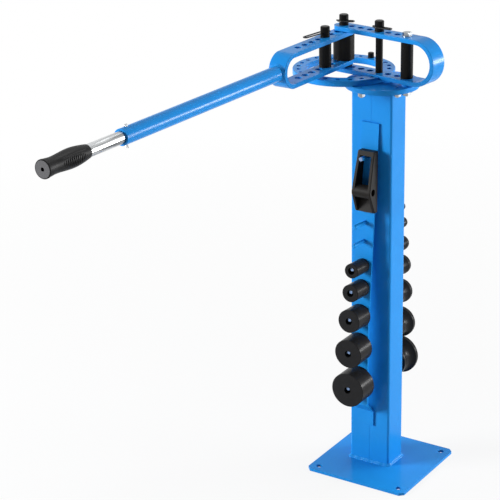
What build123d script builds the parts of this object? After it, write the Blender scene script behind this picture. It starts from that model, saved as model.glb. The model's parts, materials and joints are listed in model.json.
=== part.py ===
from build123d import *
from math import acos, atan2, cos, degrees, hypot, radians, sin, tan
import os

os.makedirs("parts", exist_ok=True)

# Base plate, in millimetres; the origin is the middle of its underside
BASE_SIZE = 240.0
BASE_T = 6.0
BASE_CORNER = 9.0
BASE_HOLE_D = 13.0
BASE_HOLE_INSET = 20.65

# Column: a rectangular tube that stands off the middle of the base
COLUMN_X = -15.7
COLUMN_Y = 8.4
COLUMN_W = 96.0
COLUMN_D = 62.6
COLUMN_WALL = 3.0
COLUMN_CORNER = 5.0
COLUMN_LENGTH = 858.0
SEAM_W = 0.8
SEAM_DEPTH = 0.3
FOOT_WELD_LEG = 7.0
FOOT_WELD_TOE = 0.7

# Round plates under the bending head, bolted to each other
PLATE_R = 77.0
PLATE_OFFSET = 8.5
FLANGE_T = 6.0
HEAD_PLATE_T = 4.0
PLATE_BOLT_R = 68.0
PLATE_BOLT_ANGLES = (-85.0, -20.0, 20.0, 85.0)

# Countersunk screws of the plates, flush with the deck, with their nuts and washers
SCREW_D = 8.0
SCREW_HEAD_D = 15.0
SCREW_HEAD_SLOPE = 45.0
SCREW_SOCKET_AF = 5.0
SCREW_SOCKET_DEPTH = 2.5
SCREW_NUT_AF = 13.0
SCREW_NUT_T = 6.5
SCREW_WASHER_OD = 16.0
SCREW_WASHER_T = 1.6

# Long bolt of the fixed frame, with its nut and washers
BOLT_D = 10.0
BOLT_AF = 17.0
BOLT_HEAD_T = 6.4
BOLT_TAIL = 2.0
NUT_T = 8.0
WASHER_OD = 20.0
WASHER_T = 2.0
BOLT_CLEARANCE = 0.15

# Bending head: the fixed frame points HEAD_TURN degrees from +X, the arm ARM_TURN
HEAD_TURN = -7.3
ARM_TURN = -92.3
PIVOT_OFFSET = 91.0
BAR_W = 40.0
BAR_T = 9.5
BAR_EDGE = 1.2
LEG_LIFT = 7.0
FRAME_HEIGHT = 96.5
FRAME_REACH = 239.0
ARM_REACH = 248.0
ARM_TOP_GAP = 0.5
FIRST_HOLE = 21.5
FRAME_PITCH = 23.2
ARM_PITCH = 25.0
HOLE_COUNT = 7
FRAME_PIN_HOLE = 4
SLEEVE_HOLE = 7
ROLLER_HOLE = 3
SLEEVE_OD = 25.4

# Angle ring round the pivot
RING_OUTER_R = 107.5
RING_W = 27.5
RING_T = 12.7
RING_HOLE_OFFSET = 1.25
RING_HOLE_D = 10.0
RING_HOLE_COUNT = 24
RING_EDGE = 1.0
SLOT_CLEARANCE = 0.15
STOP_ANGLE = 90.0
STOP_HEAD_D = 13.0
STOP_HEAD_T = 11.3

# Pins, their clips, and the forming cylinders between the arm's legs
PIN_D = 15.0
PIN_CLEARANCE = 0.1
PIN_HEAD_D = 19.5
PIN_HEAD_T = 22.3
PIN_HEAD_EDGE = 1.5
PIN_END_LIFT = 0.5
PIVOT_WASHER_OD = 34.0
PIVOT_WASHER_T = 4.4
RUNNING_GAP = 0.2
CENTRE_DIE_D = 44.45
ROLLER_D = 25.4
DIE_END_GAP = 0.5
CLIP_WIRE_D = 3.0
CLIP_HEIGHT = 9.0
CLIP_LOOP_R = 4.5
CLIP_STUB = 6.0
CLIP_WRAP = 50.0
CLIP_FLARE_R = 5.0
CLIP_FLARE = 55.0
CENTRE_CLIP_TURN = 20.0
CENTRE_CLIP_REACH = 14.0
ROLLER_CLIP_TURN = -101.0
ROLLER_CLIP_REACH = 50.0
FRAME_CLIP_TURN = -3.0
FRAME_CLIP_REACH = 23.0

# Handle, as distances along the arm from the pivot
HANDLE_OD = 32.0
HANDLE_END = 736.0
EXTENSION_OD = 24.0
EXTENSION_WALL = 2.6
EXTENSION_OVERLAP = 150.0
TUBE_CLEARANCE = 0.1
SPLIT_PIN_SETBACK = 15.0
SPLIT_PIN_D = 4.0
SPLIT_PIN_EYE_W = 8.6
SPLIT_PIN_EYE_H = 5.0
SPLIT_PIN_LEG = 8.0
SPLIT_PIN_SPLAY = 20.0
GRIP_START = 831.0
GRIP_LENGTH = 115.0
GRIP_NECK_R = 13.5
GRIP_NECK_END = 1.5
GRIP_BULGE_R = 18.2
GRIP_BULGE_AT = 44.0
GRIP_WAIST_R = 15.7
GRIP_WAIST_AT = 90.0
GRIP_FLANGE_R = 17.7
GRIP_FLANGE_T = 6.0
GRIP_END_WALL = 5.0
GRIP_VENT_D = 7.4
GRIP_GROOVE_COUNT = 14
GRIP_GROOVE_PITCH = 5.0
GRIP_GROOVE_W = 2.4
GRIP_GROOVE_FLOOR = 15.4
GRIP_GROOVE_AT = 44.0

# Peg strips on the front and the back of the column
STRIP_W = 41.0
STRIP_T = 4.0
FRONT_STRIP_LEAN = 0.74
FRONT_STRIP_FOOT_X = -9.2
FRONT_STANDOFF = 30.0
REAR_STANDOFF = 27.5
STRIP_FOOT = 98.0
STRIP_FOOT_BEND = 134.0
STRIP_LOWER_BEND = 160.0
FRONT_UPPER_BEND = 345.0
FRONT_TOP_BEND = 776.0
FRONT_TOP = 792.0
REAR_UPPER_BEND = 604.0
REAR_TOP_BEND = 630.0
REAR_TOP = 664.0
PEG_D = 9.0
PEG_EDGE = 1.0
PEG_EDGE_SLOPE = 45.0
PEG_LENGTH = 47.0
BARE_PEG_HEIGHTS = (576.0, 535.0)
BLOCK_PEG_HEIGHT = 720.0
BLOCK_PEG_LENGTH = 34.0

# Dies on the pegs: diameter and height of the peg, and for the grooved ones the length
DIE_LENGTH = 50.0
DIE_EDGE = 1.0
HANG_GAP = 0.2
BACK_GAP = 0.5
PLAIN_DIES = ((31.75, 484.0), (38.1, 434.5), (50.8, 372.0), (63.5, 300.5), (76.2, 215.0))
GROOVED_DIES = (
    (19.0, 568.0, 44.0), (24.0, 530.0, 50.0), (33.0, 482.0, 50.0), (44.0, 432.0, 50.0),
    (53.5, 370.0, 50.0), (69.0, 296.0, 50.0), (86.0, 217.0, 50.0),
)
GROOVE_INNER_RIM = 6.0
GROOVE_OUTER_RIM = 10.0
GROOVE_RIM_STEP = 1.0
GROOVE_RIM_STEP_W = 4.0
GROOVE_INNER_WALL_SHARE = 0.2
GROOVE_WALL_SHARE = 0.34

# Follow block that hangs over a peg by its top bar
BLOCK_SHIFT = 3.0
BLOCK_HEIGHT = 132.0
BLOCK_TOP_W = 39.0
BLOCK_BOTTOM_W = 47.0
BLOCK_SIDE_WALL = 6.0
BLOCK_TOP_BAR = 10.0
BLOCK_TOP_DEPTH = 17.0
BLOCK_BOTTOM_DEPTH = 12.0
BLOCK_BOSS_R = 14.0
BLOCK_BOSS_DEPTH = 20.0
BLOCK_BOSS_DROP = 85.5
BLOCK_EDGE = 1.5

# Heights that follow from the stack
column_top = BASE_T + COLUMN_LENGTH
flange_top = column_top + FLANGE_T
deck = flange_top + HEAD_PLATE_T
ring_top = deck + RING_T
frame_low = deck + LEG_LIFT
frame_high = frame_low + FRAME_HEIGHT
arm_low = frame_low + BAR_T + PIVOT_WASHER_T + RUNNING_GAP
arm_high = frame_high - BAR_T - ARM_TOP_GAP
arm_middle = (arm_low + arm_high) / 2
die_low = arm_low + BAR_T + DIE_END_GAP
die_high = arm_high - BAR_T - DIE_END_GAP

# Radii and distances that follow from the fits
hole_r = PIN_D / 2 + PIN_CLEARANCE
bolt_hole_r = BOLT_D / 2 + BOLT_CLEARANCE
screw_hole_r = SCREW_D / 2 + BOLT_CLEARANCE
ring_inner_r = RING_OUTER_R - RING_W
ring_hole_circle_r = (ring_inner_r + RING_OUTER_R) / 2 + RING_HOLE_OFFSET
screw_head_t = (SCREW_HEAD_D - SCREW_D) / 2 / tan(radians(SCREW_HEAD_SLOPE))
frame_holes = [0.0] + [FIRST_HOLE + FRAME_PITCH * k for k in range(HOLE_COUNT)]
arm_holes = [0.0] + [FIRST_HOLE + ARM_PITCH * k for k in range(HOLE_COUNT)]
frame_pin_at = frame_holes[FRAME_PIN_HOLE]
sleeve_at = frame_holes[SLEEVE_HOLE]
roller_at = arm_holes[ROLLER_HOLE]
hang_drop = hole_r - PEG_D / 2 - HANG_GAP

# Planes: the head's and the arm's X axes run out from the pivot
column_axis = Vector(COLUMN_X, COLUMN_Y, 0)
up = Vector(0, 0, 1)


def heading(angle):
    """Level unit vector at an angle from +X."""
    return Vector(cos(radians(angle)), sin(radians(angle)), 0)


def around(middle, radius, angle):
    """Point of a sketch at a radius and an angle from a middle."""
    return (middle[0] + radius * cos(radians(angle)), middle[1] + radius * sin(radians(angle)))


pivot = column_axis - heading(HEAD_TURN) * PIVOT_OFFSET
BASE = Plane.XY
POST = Plane(origin=column_axis, x_dir=(1, 0, 0), z_dir=(0, 0, 1))
HEAD = Plane(origin=pivot, x_dir=heading(HEAD_TURN), z_dir=(0, 0, 1))
ARM = Plane(origin=pivot, x_dir=heading(ARM_TURN), z_dir=(0, 0, 1))
HEAD_DECK = Plane(origin=column_axis, x_dir=heading(HEAD_TURN), z_dir=(0, 0, 1))


def upright(origin, outward):
    """Plane that stands on edge, its X axis outward and its Y axis up."""
    return Plane(origin=origin, x_dir=outward, z_dir=outward.cross(up))


def on_line(direction, distance, height=0.0):
    """Point at a distance from the pivot along a heading."""
    return pivot + heading(direction) * distance + up * height


# Base plate with clipped corners and four anchor holes
with BuildPart() as base_plate:
    with BuildSketch(BASE):
        Rectangle(BASE_SIZE, BASE_SIZE)
        chamfer(vertices(), length=BASE_CORNER)
        anchor_pitch = BASE_SIZE - 2 * BASE_HOLE_INSET
        with GridLocations(anchor_pitch, anchor_pitch, 2, 2):
            Circle(BASE_HOLE_D / 2, mode=Mode.SUBTRACT)
    extrude(amount=BASE_T)
base_plate.part.label = "base_plate"
export_step(base_plate.part, "parts/base_plate.step")

# Column: tube with a shallow seam down the front face
with BuildPart() as column:
    with BuildSketch(POST.offset(BASE_T)):
        RectangleRounded(COLUMN_W, COLUMN_D, COLUMN_CORNER)
        RectangleRounded(
            COLUMN_W - 2 * COLUMN_WALL,
            COLUMN_D - 2 * COLUMN_WALL,
            COLUMN_CORNER - COLUMN_WALL / 2,
            mode=Mode.SUBTRACT,
        )
        with Locations((0, -COLUMN_D / 2)):
            Rectangle(SEAM_W, 2 * SEAM_DEPTH, mode=Mode.SUBTRACT)
    extrude(amount=COLUMN_LENGTH)
column.part.label = "column"
export_step(column.part, "parts/column.step")

# Fillet weld round the column's foot
with BuildPart() as foot_weld:
    with BuildSketch(POST.offset(BASE_T)):
        RectangleRounded(
            COLUMN_W + 2 * FOOT_WELD_LEG,
            COLUMN_D + 2 * FOOT_WELD_LEG,
            COLUMN_CORNER + FOOT_WELD_LEG,
        )
    extrude(amount=FOOT_WELD_LEG)
    chamfer(faces().sort_by(Axis.Z)[-1].edges(), length=FOOT_WELD_LEG - FOOT_WELD_TOE)
    with BuildSketch(POST.offset(BASE_T)):
        RectangleRounded(COLUMN_W, COLUMN_D, COLUMN_CORNER)
        with Locations((0, -COLUMN_D / 2)):
            Rectangle(SEAM_W, 2 * SEAM_DEPTH)
    extrude(amount=FOOT_WELD_LEG, mode=Mode.SUBTRACT)
foot_weld.part.label = "foot_weld"
export_step(foot_weld.part, "parts/foot_weld.step")


# Places of the screws and the long bolt on the round plates, seen along the fixed frame
plate_bolt_spots = [around((0, 0), PLATE_BOLT_R, angle) for angle in PLATE_BOLT_ANGLES]
sleeve_spot = (sleeve_at - PIVOT_OFFSET, 0)

# Round flange welded on the column
with BuildPart() as column_flange:
    with BuildSketch(HEAD_DECK.offset(column_top)):
        with Locations((PLATE_OFFSET, 0)):
            Circle(PLATE_R)
        with Locations(*plate_bolt_spots):
            Circle(screw_hole_r, mode=Mode.SUBTRACT)
        with Locations(sleeve_spot):
            Circle(bolt_hole_r, mode=Mode.SUBTRACT)
    extrude(amount=FLANGE_T)
column_flange.part.label = "column_flange"
export_step(column_flange.part, "parts/column_flange.step")

# Round plate that carries the bending head, countersunk for the screws
with BuildPart() as head_plate:
    with BuildSketch(HEAD_DECK.offset(flange_top)):
        with Locations((PLATE_OFFSET, 0)):
            Circle(PLATE_R)
        with Locations(*plate_bolt_spots):
            Circle(screw_hole_r, mode=Mode.SUBTRACT)
        with Locations(sleeve_spot):
            Circle(bolt_hole_r, mode=Mode.SUBTRACT)
    extrude(amount=HEAD_PLATE_T)
    with BuildSketch(HEAD_DECK.offset(deck)):
        with Locations(*plate_bolt_spots):
            Circle(SCREW_HEAD_D / 2 + BOLT_CLEARANCE)
    extrude(amount=-screw_head_t, taper=SCREW_HEAD_SLOPE, mode=Mode.SUBTRACT)
head_plate.part.label = "head_plate"
export_step(head_plate.part, "parts/head_plate.step")

# Screws that clamp the two plates, with washers and nuts below
screw_end = column_top - SCREW_WASHER_T - SCREW_NUT_T - BOLT_TAIL
with BuildPart() as plate_bolts:
    with BuildSketch(HEAD_DECK.offset(deck)):
        with Locations(*plate_bolt_spots):
            Circle(SCREW_HEAD_D / 2)
    extrude(amount=-screw_head_t, taper=SCREW_HEAD_SLOPE)
    with BuildSketch(HEAD_DECK.offset(screw_end)):
        with Locations(*plate_bolt_spots):
            Circle(SCREW_D / 2)
    extrude(amount=deck - screw_end)
    with BuildSketch(HEAD_DECK.offset(deck)):
        with Locations(*plate_bolt_spots):
            RegularPolygon(SCREW_SOCKET_AF / 2, 6, major_radius=False)
    extrude(amount=-SCREW_SOCKET_DEPTH, mode=Mode.SUBTRACT)
plate_bolts.part.label = "plate_bolts"
export_step(plate_bolts.part, "parts/plate_bolts.step")

with BuildPart() as plate_washers:
    with BuildSketch(HEAD_DECK.offset(column_top)):
        with Locations(*plate_bolt_spots):
            Circle(SCREW_WASHER_OD / 2)
            Circle(screw_hole_r, mode=Mode.SUBTRACT)
    extrude(amount=-SCREW_WASHER_T)
plate_washers.part.label = "plate_washers"
export_step(plate_washers.part, "parts/plate_washers.step")

with BuildPart() as plate_nuts:
    with BuildSketch(HEAD_DECK.offset(column_top - SCREW_WASHER_T)):
        with Locations(*plate_bolt_spots):
            RegularPolygon(SCREW_NUT_AF / 2, 6, major_radius=False)
            Circle(screw_hole_r, mode=Mode.SUBTRACT)
    extrude(amount=-SCREW_NUT_T)
plate_nuts.part.label = "plate_nuts"
export_step(plate_nuts.part, "parts/plate_nuts.step")

# Angle ring, let in under the fixed frame's lower leg
with BuildPart() as angle_ring:
    with BuildSketch(HEAD.offset(deck)):
        Circle(RING_OUTER_R)
        Circle(ring_inner_r, mode=Mode.SUBTRACT)
        with PolarLocations(ring_hole_circle_r, RING_HOLE_COUNT):
            Circle(RING_HOLE_D / 2, mode=Mode.SUBTRACT)
    extrude(amount=RING_T)
    rims = edges().filter_by(GeomType.CIRCLE).filter_by(lambda e: e.radius >= ring_inner_r)
    chamfer(rims, length=RING_EDGE)
    with BuildSketch(HEAD.offset(frame_low)):
        with Locations((ring_hole_circle_r, 0)):
            Rectangle(RING_OUTER_R, BAR_W + 2 * SLOT_CLEARANCE)
    extrude(amount=RING_T, mode=Mode.SUBTRACT)
angle_ring.part.label = "angle_ring"
export_step(angle_ring.part, "parts/angle_ring.step")


# Fixed frame and arm frame: flat bars bent to a U, with legs rounded about the pivot and drilled
bent_bars = (
    ("fixed_frame", HEAD_TURN, FRAME_REACH, frame_low, frame_high, frame_holes),
    ("arm_frame", ARM_TURN, ARM_REACH, arm_low, arm_high, arm_holes),
)
for name, turn, reach, low, high, holes in bent_bars:
    outer_r = (high - low) / 2
    middle = (high + low) / 2
    bend_at = reach - outer_r
    level = Plane(origin=pivot, x_dir=heading(turn), z_dir=(0, 0, 1)).offset(low)
    with BuildPart() as bent_bar:
        with BuildSketch(upright(pivot, heading(turn))):
            with BuildLine():
                Line((-BAR_W, low), (bend_at, low))
                ThreePointArc((bend_at, low), (reach, middle), (bend_at, high))
                Polyline(
                    (bend_at, high), (-BAR_W, high), (-BAR_W, high - BAR_T), (bend_at, high - BAR_T)
                )
                ThreePointArc(
                    (bend_at, high - BAR_T), (reach - BAR_T, middle), (bend_at, low + BAR_T)
                )
                Polyline((bend_at, low + BAR_T), (-BAR_W, low + BAR_T), (-BAR_W, low))
            make_face()
        extrude(amount=BAR_W / 2, both=True)
        sides = faces().filter_by(GeomType.PLANE).sort_by(Axis((0, 0, 0), heading(turn).cross(up)))
        fillet(sides[0].edges() + sides[-1].edges(), radius=BAR_EDGE)
        with BuildSketch(level):
            Circle(BAR_W / 2)
            with Locations((reach / 2, 0)):
                Rectangle(reach, BAR_W)
        extrude(amount=high - low, mode=Mode.INTERSECT)
        with BuildSketch(level):
            with Locations(*[(x, 0) for x in holes]):
                Circle(hole_r)
        extrude(amount=high - low, mode=Mode.SUBTRACT)
    bent_bar.part.label = name
    export_step(bent_bar.part, f"parts/{name}.step")

# Long bolt through the fixed frame, its sleeve, the packing and both plates
sleeve_bolt_end = column_top - WASHER_T - NUT_T - BOLT_TAIL
with BuildPart() as sleeve_bolt:
    with BuildSketch(HEAD.offset(frame_high + WASHER_T)):
        with Locations((sleeve_at, 0)):
            RegularPolygon(BOLT_AF / 2, 6, major_radius=False)
    extrude(amount=BOLT_HEAD_T)
    with BuildSketch(HEAD.offset(frame_high + WASHER_T)):
        with Locations((sleeve_at, 0)):
            Circle(BOLT_D / 2)
    extrude(amount=sleeve_bolt_end - frame_high - WASHER_T)
sleeve_bolt.part.label = "sleeve_bolt"
export_step(sleeve_bolt.part, "parts/sleeve_bolt.step")

with BuildPart() as sleeve_washers:
    for washer_low in (frame_high, column_top - WASHER_T):
        with BuildSketch(HEAD.offset(washer_low)):
            with Locations((sleeve_at, 0)):
                Circle(WASHER_OD / 2)
                Circle(bolt_hole_r, mode=Mode.SUBTRACT)
        extrude(amount=WASHER_T)
sleeve_washers.part.label = "sleeve_washers"
export_step(sleeve_washers.part, "parts/sleeve_washers.step")

with BuildPart() as sleeve_nut:
    with BuildSketch(HEAD.offset(column_top - WASHER_T)):
        with Locations((sleeve_at, 0)):
            RegularPolygon(BOLT_AF / 2, 6, major_radius=False)
            Circle(bolt_hole_r, mode=Mode.SUBTRACT)
    extrude(amount=-NUT_T)
sleeve_nut.part.label = "sleeve_nut"
export_step(sleeve_nut.part, "parts/sleeve_nut.step")

with BuildPart() as leg_packing:
    with BuildSketch(HEAD.offset(deck)):
        with Locations((sleeve_at, 0)):
            Circle(WASHER_OD / 2)
            Circle(bolt_hole_r, mode=Mode.SUBTRACT)
    extrude(amount=LEG_LIFT)
leg_packing.part.label = "leg_packing"
export_step(leg_packing.part, "parts/leg_packing.step")

with BuildPart() as spacer_sleeve:
    with BuildSketch(HEAD.offset(frame_low + BAR_T)):
        with Locations((sleeve_at, 0)):
            Circle(SLEEVE_OD / 2)
            Circle(bolt_hole_r, mode=Mode.SUBTRACT)
    extrude(amount=FRAME_HEIGHT - 2 * BAR_T)
spacer_sleeve.part.label = "spacer_sleeve"
export_step(spacer_sleeve.part, "parts/spacer_sleeve.step")

# Thrust washer between the two lower legs
with BuildPart() as pivot_washer:
    with BuildSketch(HEAD.offset(frame_low + BAR_T)):
        Circle(PIVOT_WASHER_OD / 2)
        Circle(hole_r, mode=Mode.SUBTRACT)
    extrude(amount=PIVOT_WASHER_T)
pivot_washer.part.label = "pivot_washer"
export_step(pivot_washer.part, "parts/pivot_washer.step")


def arm_section(distance):
    """Plane square to the handle, its Y axis up."""
    along = heading(ARM_TURN)
    return Plane(origin=on_line(ARM_TURN, distance, arm_middle), x_dir=up.cross(along), z_dir=along)


# Handle tube, coped to the arm's bend
arm_bend_r = (arm_high - arm_low) / 2
extension_bore_r = EXTENSION_OD / 2 + TUBE_CLEARANCE
split_pin_at = HANDLE_END - SPLIT_PIN_SETBACK
split_pin_hole_r = SPLIT_PIN_D / 2 + TUBE_CLEARANCE
with BuildPart() as handle_tube:
    with BuildSketch(arm_section(ARM_REACH - arm_bend_r / 2)):
        Circle(HANDLE_OD / 2)
        Circle(extension_bore_r, mode=Mode.SUBTRACT)
    extrude(amount=HANDLE_END - ARM_REACH + arm_bend_r / 2)
    with BuildSketch(upright(on_line(ARM_TURN, ARM_REACH - arm_bend_r, arm_middle), heading(ARM_TURN))):
        Circle(arm_bend_r)
    extrude(amount=BAR_W, both=True, mode=Mode.SUBTRACT)
    with BuildSketch(ARM.offset(arm_middle)):
        with Locations((split_pin_at, 0)):
            Circle(split_pin_hole_r)
    extrude(amount=HANDLE_OD, both=True, mode=Mode.SUBTRACT)
handle_tube.part.label = "handle_tube"
export_step(handle_tube.part, "parts/handle_tube.step")

# Extension tube, pushed into the handle tube and pinned
extension_end = GRIP_START + GRIP_LENGTH - GRIP_END_WALL
with BuildPart() as extension_tube:
    with BuildSketch(arm_section(HANDLE_END - EXTENSION_OVERLAP)):
        Circle(EXTENSION_OD / 2)
        Circle(EXTENSION_OD / 2 - EXTENSION_WALL, mode=Mode.SUBTRACT)
    extrude(amount=extension_end - HANDLE_END + EXTENSION_OVERLAP)
    with BuildSketch(ARM.offset(arm_middle)):
        with Locations((split_pin_at, 0)):
            Circle(split_pin_hole_r)
    extrude(amount=HANDLE_OD, both=True, mode=Mode.SUBTRACT)
extension_tube.part.label = "extension_tube"
export_step(extension_tube.part, "parts/extension_tube.step")

# Split pin: eye above the tube, shank through it, legs spread below
split_wire_r = SPLIT_PIN_D / 4
split_pin_seat = arm_middle + HANDLE_OD / 2 + TUBE_CLEARANCE
split_pin_bottom = arm_middle - HANDLE_OD / 2 - SPLIT_PIN_D / 2
with BuildPart() as split_pin:
    with BuildSketch(ARM.offset(split_pin_bottom)):
        with Locations((split_pin_at, 0)):
            Circle(SPLIT_PIN_D / 2)
    extrude(amount=split_pin_seat + split_wire_r - split_pin_bottom)
    eye_middle = on_line(ARM_TURN, split_pin_at, split_pin_seat + SPLIT_PIN_EYE_H / 2)
    with BuildSketch(upright(eye_middle, heading(ARM_TURN))):
        SlotOverall(SPLIT_PIN_EYE_W, SPLIT_PIN_EYE_H)
        offset(amount=-2 * split_wire_r, mode=Mode.SUBTRACT)
    extrude(amount=split_wire_r, both=True)
    for side in (-1, 1):
        leg_at = split_pin_at + side * split_wire_r
        root = on_line(ARM_TURN, leg_at, split_pin_bottom + split_wire_r)
        lean = heading(ARM_TURN) * (side * sin(radians(SPLIT_PIN_SPLAY)))
        with BuildSketch(Plane(origin=root, z_dir=lean - up * cos(radians(SPLIT_PIN_SPLAY)))):
            Circle(split_wire_r)
        extrude(amount=SPLIT_PIN_LEG)
split_pin.part.label = "split_pin"
export_step(split_pin.part, "parts/split_pin.step")

# Grip: turned outline with a row of grooves down each side
grip_bore_r = EXTENSION_OD / 2 + TUBE_CLEARANCE
with BuildPart() as grip:
    with BuildSketch(upright(on_line(ARM_TURN, GRIP_START, arm_middle), heading(ARM_TURN))):
        with BuildLine():
            neck = (GRIP_NECK_END, GRIP_NECK_R)
            bulge = (GRIP_BULGE_AT, GRIP_BULGE_R)
            waist = (GRIP_WAIST_AT, GRIP_WAIST_R)
            flare = (GRIP_LENGTH - GRIP_FLANGE_T, GRIP_FLANGE_R)
            Polyline((0, grip_bore_r), (0, GRIP_NECK_R), neck)
            Spline(neck, bulge, waist, flare)
            Polyline(flare, (GRIP_LENGTH, GRIP_FLANGE_R), (GRIP_LENGTH, GRIP_VENT_D / 2))
            inside = (GRIP_LENGTH - GRIP_END_WALL, GRIP_VENT_D / 2)
            Polyline((GRIP_LENGTH, GRIP_VENT_D / 2), inside, (inside[0], grip_bore_r), (0, grip_bore_r))
        make_face()
    revolve(axis=Axis(on_line(ARM_TURN, GRIP_START, arm_middle), heading(ARM_TURN)))
    with BuildSketch(ARM.offset(arm_middle)):
        for side in (-1, 1):
            with Locations((GRIP_START + GRIP_GROOVE_AT, side * (GRIP_GROOVE_FLOOR + GRIP_BULGE_R / 2))):
                with GridLocations(GRIP_GROOVE_PITCH, 0, GRIP_GROOVE_COUNT, 1):
                    Rectangle(GRIP_GROOVE_W, GRIP_BULGE_R)
    extrude(amount=GRIP_BULGE_R, both=True, mode=Mode.SUBTRACT)
grip.part.label = "grip"
export_step(grip.part, "parts/grip.step")


# Headed pins, each with a spring clip of bent wire through its head
roller_spot = on_line(ARM_TURN, roller_at)
frame_pin_spot = on_line(HEAD_TURN, frame_pin_at)
clip_hug_r = PIN_HEAD_D / 2 + CLIP_WIRE_D / 2 + PIN_CLEARANCE
pins = (
    ("centre_pin", pivot, frame_high, frame_low, CENTRE_CLIP_TURN, CENTRE_CLIP_REACH),
    ("roller_pin", roller_spot, arm_high, arm_low, ROLLER_CLIP_TURN, ROLLER_CLIP_REACH),
    ("frame_pin", frame_pin_spot, frame_high, frame_low, FRAME_CLIP_TURN, FRAME_CLIP_REACH),
)
for name, spot, seat, leg_low, clip_turn, clip_reach in pins:
    tip = leg_low + PIN_END_LIFT
    ground = Plane(origin=spot, x_dir=heading(clip_turn), z_dir=(0, 0, 1))
    cross_hole = spot + up * (seat + CLIP_HEIGHT)
    with BuildPart() as pin:
        with BuildSketch(ground.offset(tip)):
            Circle(PIN_D / 2)
        extrude(amount=seat - tip)
        chamfer(faces().sort_by(Axis.Z)[0].edges(), length=PIN_HEAD_EDGE)
        with BuildSketch(ground.offset(seat)):
            Circle(PIN_HEAD_D / 2)
        extrude(amount=PIN_HEAD_T)
        chamfer(faces().sort_by(Axis.Z)[-1].edges(), length=PIN_HEAD_EDGE)
        with BuildSketch(Plane(origin=cross_hole, z_dir=heading(clip_turn))):
            Circle(CLIP_WIRE_D / 2 + PIN_CLEARANCE)
        extrude(amount=PIN_HEAD_D, both=True, mode=Mode.SUBTRACT)
    pin.part.label = name
    export_step(pin.part, f"parts/{name}.step")

    # One leg goes through the head to a loop, and the other comes back to hug the head
    loop_at = PIN_HEAD_D / 2 + clip_reach - CLIP_LOOP_R - CLIP_WIRE_D / 2
    belt = acos((clip_hug_r - CLIP_LOOP_R) / hypot(loop_at, CLIP_LOOP_R))
    leave = degrees(belt + atan2(CLIP_LOOP_R, loop_at))
    stub_end = (-PIN_HEAD_D / 2 - CLIP_STUB, 0)
    loop_middle = (loop_at, CLIP_LOOP_R)
    flare_middle = around((0, 0), clip_hug_r + CLIP_FLARE_R, leave + CLIP_WRAP)
    flare_from = leave + CLIP_WRAP + 180
    with BuildPart() as clip:
        with BuildLine(Plane(origin=cross_hole, x_dir=heading(clip_turn), z_dir=(0, 0, -1))):
            Line(stub_end, (loop_at, 0))
            CenterArc(loop_middle, CLIP_LOOP_R, -90, 90 + leave)
            Line(around(loop_middle, CLIP_LOOP_R, leave), around((0, 0), clip_hug_r, leave))
            CenterArc((0, 0), clip_hug_r, leave, CLIP_WRAP)
            ThreePointArc(
                around(flare_middle, CLIP_FLARE_R, flare_from),
                around(flare_middle, CLIP_FLARE_R, flare_from - CLIP_FLARE / 2),
                around(flare_middle, CLIP_FLARE_R, flare_from - CLIP_FLARE),
            )
        stub_point = cross_hole + heading(clip_turn) * stub_end[0]
        with BuildSketch(Plane(origin=stub_point, z_dir=heading(clip_turn))):
            Circle(CLIP_WIRE_D / 2)
        sweep()
    clip.part.label = f"{name}_clip"
    export_step(clip.part, f"parts/{name}_clip.step")

# Forming die that turns on the centre pin
with BuildPart() as centre_die:
    with BuildSketch(HEAD.offset(die_low)):
        Circle(CENTRE_DIE_D / 2)
        Circle(hole_r, mode=Mode.SUBTRACT)
    extrude(amount=die_high - die_low)
    rims = edges().filter_by(GeomType.CIRCLE).filter_by(lambda e: e.radius > hole_r + DIE_EDGE)
    chamfer(rims, length=DIE_EDGE)
centre_die.part.label = "centre_die"
export_step(centre_die.part, "parts/centre_die.step")

# Sleeve that rolls on the roller pin
with BuildPart() as roller_sleeve:
    with BuildSketch(ARM.offset(die_low)):
        with Locations((roller_at, 0)):
            Circle(ROLLER_D / 2)
            Circle(hole_r, mode=Mode.SUBTRACT)
    extrude(amount=die_high - die_low)
roller_sleeve.part.label = "roller_sleeve"
export_step(roller_sleeve.part, "parts/roller_sleeve.step")

# Stop pin: a shouldered peg that drops in any hole of the ring
stop_spot = on_line(HEAD_TURN + STOP_ANGLE, ring_hole_circle_r)
STOP = Plane(origin=stop_spot, x_dir=heading(HEAD_TURN), z_dir=(0, 0, 1))
with BuildPart() as stop_pin:
    with BuildSketch(STOP.offset(ring_top)):
        Circle(STOP_HEAD_D / 2)
    extrude(amount=STOP_HEAD_T)
    chamfer(faces().sort_by(Axis.Z)[-1].edges(), length=RING_EDGE)
    with BuildSketch(STOP.offset(deck)):
        Circle(RING_HOLE_D / 2 - PIN_CLEARANCE)
    extrude(amount=RING_T)
stop_pin.part.label = "stop_pin"
export_step(stop_pin.part, "parts/stop_pin.step")

# Peg strips, each drawn by the line of its back face in its own upright plane
front_up = Vector(sin(radians(FRONT_STRIP_LEAN)), 0, cos(radians(FRONT_STRIP_LEAN)))
front_foot = Vector(COLUMN_X + FRONT_STRIP_FOOT_X, COLUMN_Y - COLUMN_D / 2, STRIP_FOOT)
front_out = Vector(0, -1, 0)
FRONT = Plane(origin=front_foot, x_dir=front_out, z_dir=front_out.cross(front_up))
rear_foot = Vector(COLUMN_X, COLUMN_Y + COLUMN_D / 2, STRIP_FOOT)
REAR = upright(rear_foot, Vector(0, 1, 0))
front_line = [
    (0, 0),
    (0, STRIP_FOOT_BEND - STRIP_FOOT),
    (FRONT_STANDOFF, STRIP_LOWER_BEND - STRIP_FOOT),
    (FRONT_STANDOFF, FRONT_UPPER_BEND - STRIP_FOOT),
    (0, FRONT_TOP_BEND - STRIP_FOOT),
    (0, FRONT_TOP - STRIP_FOOT),
]
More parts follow.
